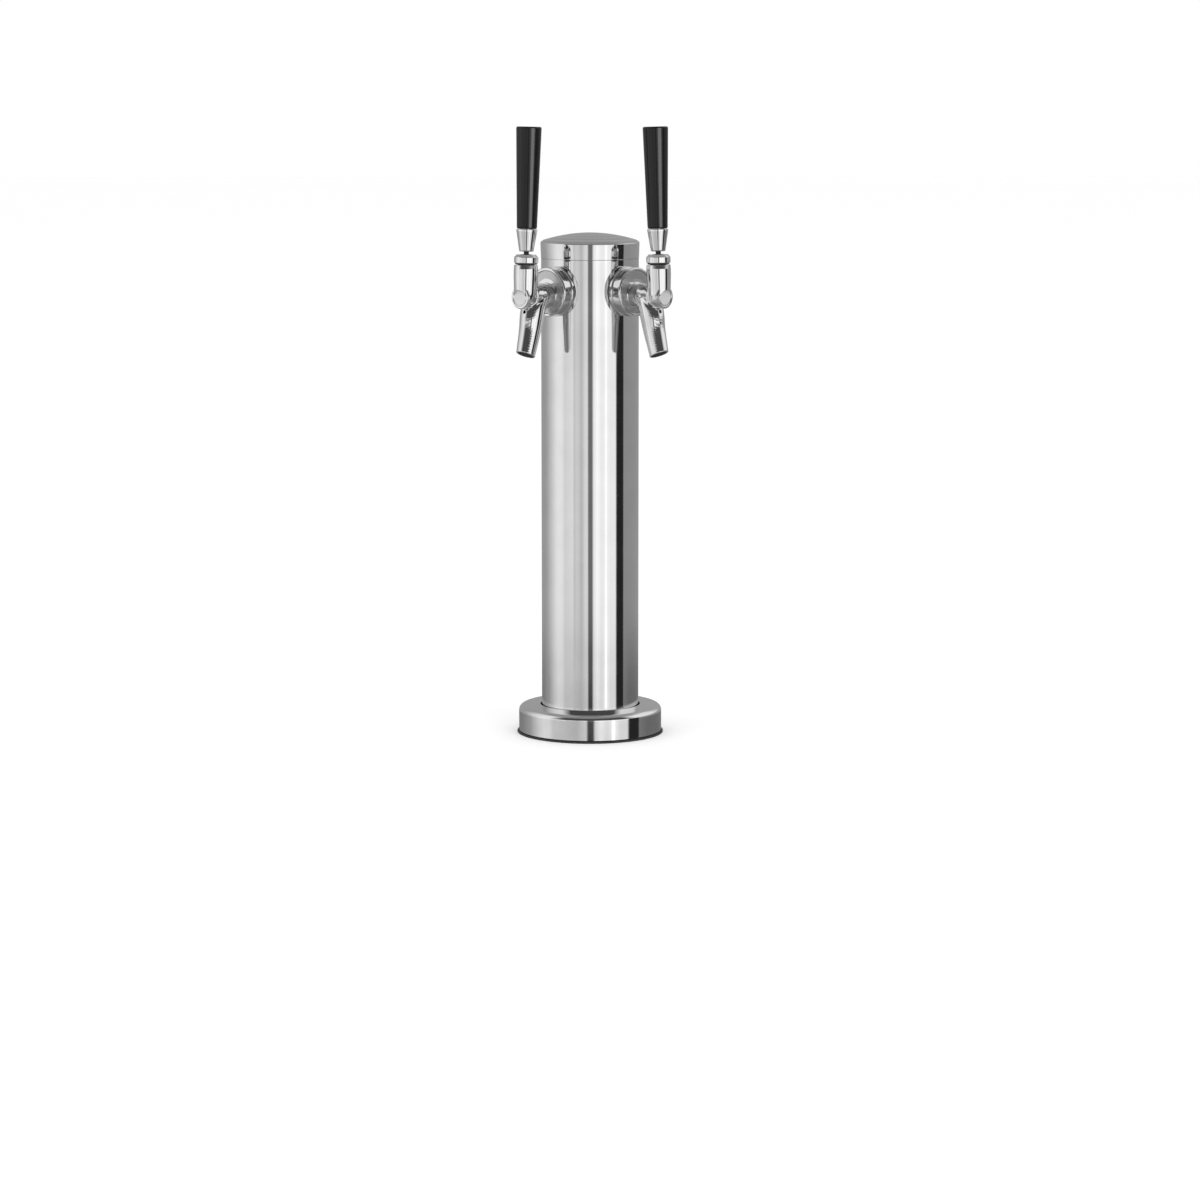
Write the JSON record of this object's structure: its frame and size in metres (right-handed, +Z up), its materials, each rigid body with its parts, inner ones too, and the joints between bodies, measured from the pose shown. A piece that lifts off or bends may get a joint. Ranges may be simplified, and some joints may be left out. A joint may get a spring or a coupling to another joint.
{
  "type": "beer tap tower",
  "caption": "Polished round column on a low round base with a domed cap, carrying front-set pouring faucets with upright black tapered handles.",
  "frame": {"origin": "on the counter at the middle of the whole footprint, 3 mm in front of the column's axis", "axes": "+Z up along the column; -Y to the front, where the drinks are poured; +X to the right as seen from the front"},
  "size_m": [0.1232, 0.1224, 0.4767],
  "materials": {
    "polished_steel": "polished",
    "chrome": "polished",
    "black_plastic": "satin",
    "rubber": "matte",
    "foam": "matte",
    "nylon": "satin",
    "brass": "satin",
    "zinc_screw": "satin"
  },
  "bodies": {
    "tower": {"column_tube": "polished_steel", "base_flange": "polished_steel", "base_gasket": "rubber", "base_screw_1": "zinc_screw", "base_screw_2": "zinc_screw", "base_screw_3": "zinc_screw", "base_screw_4": "zinc_screw", "insulation_sleeve": "foam", "shank_left": "polished_steel", "outer_saddle_left": "rubber", "shank_escutcheon_left": "chrome", "inner_saddle_left": "rubber", "lock_nut_left": "polished_steel", "product_tube_left": "polished_steel", "coupling_nut_left": "chrome", "coupling_washer_left": "rubber", "faucet_body_left": "chrome", "nose_plug_left": "chrome", "bonnet_left": "chrome", "friction_ring_left": "rubber", "ball_seat_left": "nylon", "shank_right": "polished_steel", "outer_saddle_right": "rubber", "shank_escutcheon_right": "chrome", "inner_saddle_right": "rubber", "lock_nut_right": "polished_steel", "product_tube_right": "polished_steel", "coupling_nut_right": "chrome", "coupling_washer_right": "rubber", "faucet_body_right": "chrome", "nose_plug_right": "chrome", "bonnet_right": "chrome", "friction_ring_right": "rubber", "ball_seat_right": "nylon"},
    "cap": {"cap": "polished_steel", "cap_insulation": "foam", "cap_o_ring": "rubber"},
    "base_cover": {"base_cover": "chrome"},
    "lever_left": {"lever_left": "polished_steel", "handle_ferrule_left": "chrome", "handle_grip_left": "black_plastic"},
    "plunger_left": {"plunger_shaft_left": "polished_steel", "seat_washer_left": "rubber", "plunger_nut_left": "brass"},
    "lever_right": {"lever_right": "polished_steel", "handle_ferrule_right": "chrome", "handle_grip_right": "black_plastic"},
    "plunger_right": {"plunger_shaft_right": "polished_steel", "seat_washer_right": "rubber", "plunger_nut_right": "brass"}
  },
  "joints": [
    {"name": "cap_lift", "type": "slide", "parent": "tower", "child": "cap", "axis": [0, 0, 1], "range_m": [0, 0.05]},
    {"name": "cover_lift", "type": "slide", "parent": "tower", "child": "base_cover", "axis": [0, 0, 1], "range_m": [0, 0.295]},
    {"name": "lever_tilt_left", "type": "hinge", "parent": "tower", "child": "lever_left", "pos_m": [-0.0507, -0.0509, 0.3686], "axis": [0.7284, -0.6852, 0], "range_deg": [0, 22]},
    {"name": "plunger_slide_left", "type": "slide", "parent": "tower", "child": "plunger_left", "axis": [0.6852, 0.7284, 0], "range_m": [0, 0.0081]},
    {"name": "lever_tilt_right", "type": "hinge", "parent": "tower", "child": "lever_right", "pos_m": [0.0507, -0.0509, 0.3686], "axis": [0.7284, 0.6852, 0], "range_deg": [0, 22]},
    {"name": "plunger_slide_right", "type": "slide", "parent": "tower", "child": "plunger_right", "axis": [-0.6852, 0.7284, 0], "range_m": [0, 0.0081]}
  ],
  "couplings": [
    {"joint": "plunger_slide_left", "follows": "lever_tilt_left", "m_per_rad": 0.021},
    {"joint": "plunger_slide_right", "follows": "lever_tilt_right", "m_per_rad": 0.021}
  ]
}
